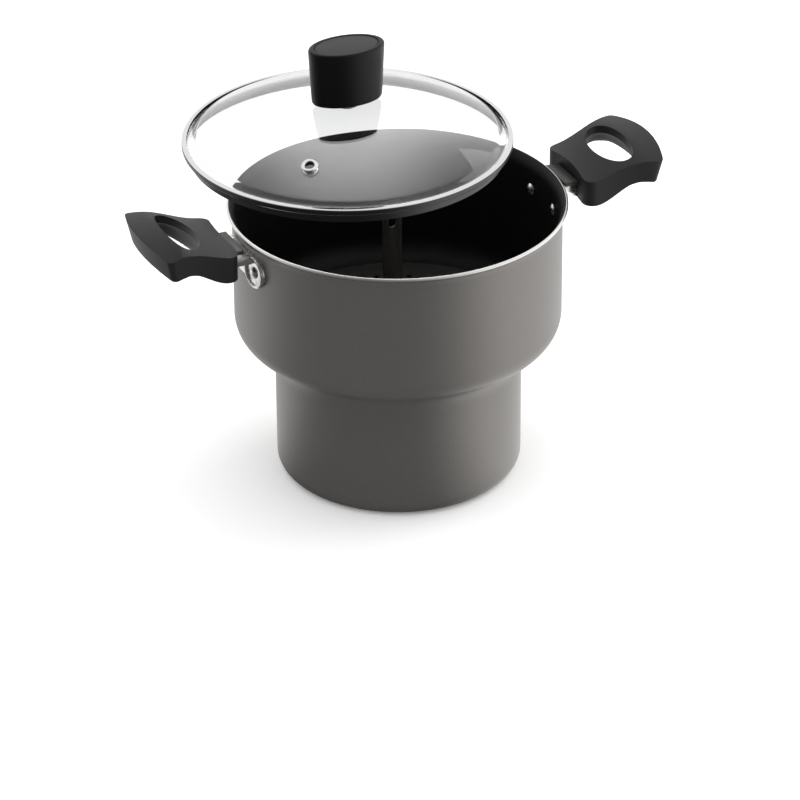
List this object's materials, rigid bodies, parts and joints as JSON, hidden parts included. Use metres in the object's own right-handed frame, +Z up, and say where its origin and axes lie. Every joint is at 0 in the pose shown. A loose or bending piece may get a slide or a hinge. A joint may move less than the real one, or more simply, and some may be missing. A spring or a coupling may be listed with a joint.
{
  "type": "couscous steamer",
  "caption": "Stepped steamer pot with flared rim, riveted side grips, a lift-out perforated plate on a strap stem, and a domed glass lid with an oval knob.",
  "frame": {"origin": "centre of the pot's flat base, on the surface it stands on", "axes": "+Z up along the pot's axis, +X through the right grip, +Y to the rear"},
  "size_m": [0.335, 0.2056, 0.2854],
  "materials": {
    "coated_aluminium": "graphite metallic coating outside, black non-stick coating inside",
    "dark_metal": "dark satin coating",
    "bare_aluminium": "bright satin",
    "stainless_steel": "polished",
    "lid_glass": "clear tempered glass",
    "bakelite": "black moulded phenolic, satin",
    "knob_inlay": "dark grey, matte",
    "silicone": "translucent matte",
    "brass": "plain"
  },
  "bodies": {
    "pot": {"pot_body": "coated_aluminium", "bracket_left": "bare_aluminium", "bracket_right": "bare_aluminium", "neck_cover_left": "dark_metal", "neck_cover_right": "dark_metal", "grip_left": "bakelite", "grip_right": "bakelite", "grip_screw_left": "stainless_steel", "grip_screw_right": "stainless_steel", "rivet_left_front": "bare_aluminium", "rivet_left_rear": "bare_aluminium", "rivet_right_front": "bare_aluminium", "rivet_right_rear": "bare_aluminium"},
    "plate": {"steam_plate": "dark_metal", "plate_stem": "dark_metal", "stem_rivet_front": "bare_aluminium", "stem_rivet_rear": "bare_aluminium"},
    "lid": {"lid_glass": "lid_glass", "lid_rim": "stainless_steel", "vent_eyelet": "stainless_steel", "lid_knob": "bakelite", "knob_disc": "knob_inlay", "knob_insert": "brass", "knob_screw": "stainless_steel", "knob_washer": "stainless_steel", "knob_gasket_upper": "silicone", "knob_gasket_lower": "silicone"}
  },
  "joints": [
    {"name": "plate_lift", "type": "slide", "parent": "pot", "child": "plate", "axis": [0, 0, 1], "range_m": [0, 0.1]},
    {"name": "lid_lift", "type": "slide", "parent": "plate", "child": "lid", "axis": [-0.5417, 0, 0.8406], "range_m": [-0.05888, 0.06]}
  ]
}
